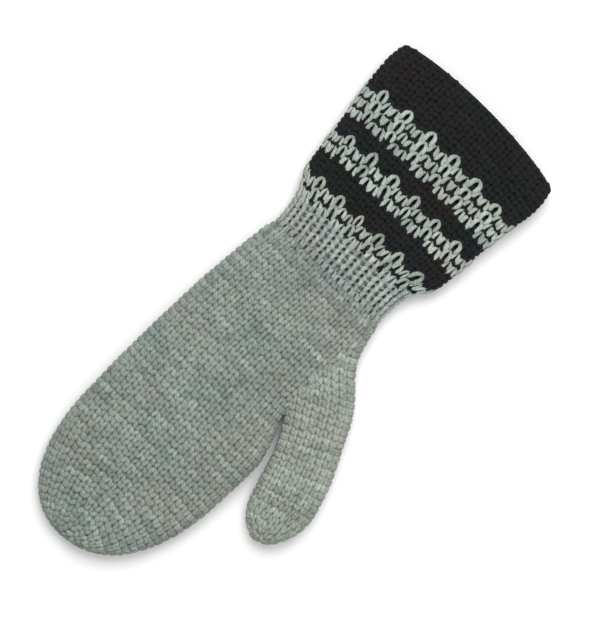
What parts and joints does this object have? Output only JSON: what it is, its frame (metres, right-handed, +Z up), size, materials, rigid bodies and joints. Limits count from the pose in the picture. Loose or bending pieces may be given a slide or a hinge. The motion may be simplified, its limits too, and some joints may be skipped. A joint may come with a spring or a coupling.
{
  "type": "knitted mitten",
  "caption": "Knitted mitten with a plain hand and gusseted thumb, a ribbed wrist and a long flared cuff with light bands on dark wool, lying flat and hollow to its tip.",
  "frame": {"origin": "on the surface it rests on, under the middle of the bounding box", "axes": "+Y runs from the tip of the hand to the mouth of the cuff, +X points to the thumb's side, +Z is up"},
  "size_m": [0.1461, 0.32, 0.0236],
  "materials": {
    "dark_wool": "matte stranded knit, slightly fuzzy, with light grey stitches in bands",
    "grey_rib": "matte heather rib knit",
    "grey_wool": "matte heather plain knit"
  },
  "bodies": {
    "root": {"cuff": "dark_wool", "wrist_rib": "grey_rib", "hand": "grey_wool", "thumb": "grey_wool"}
  },
  "joints": []
}
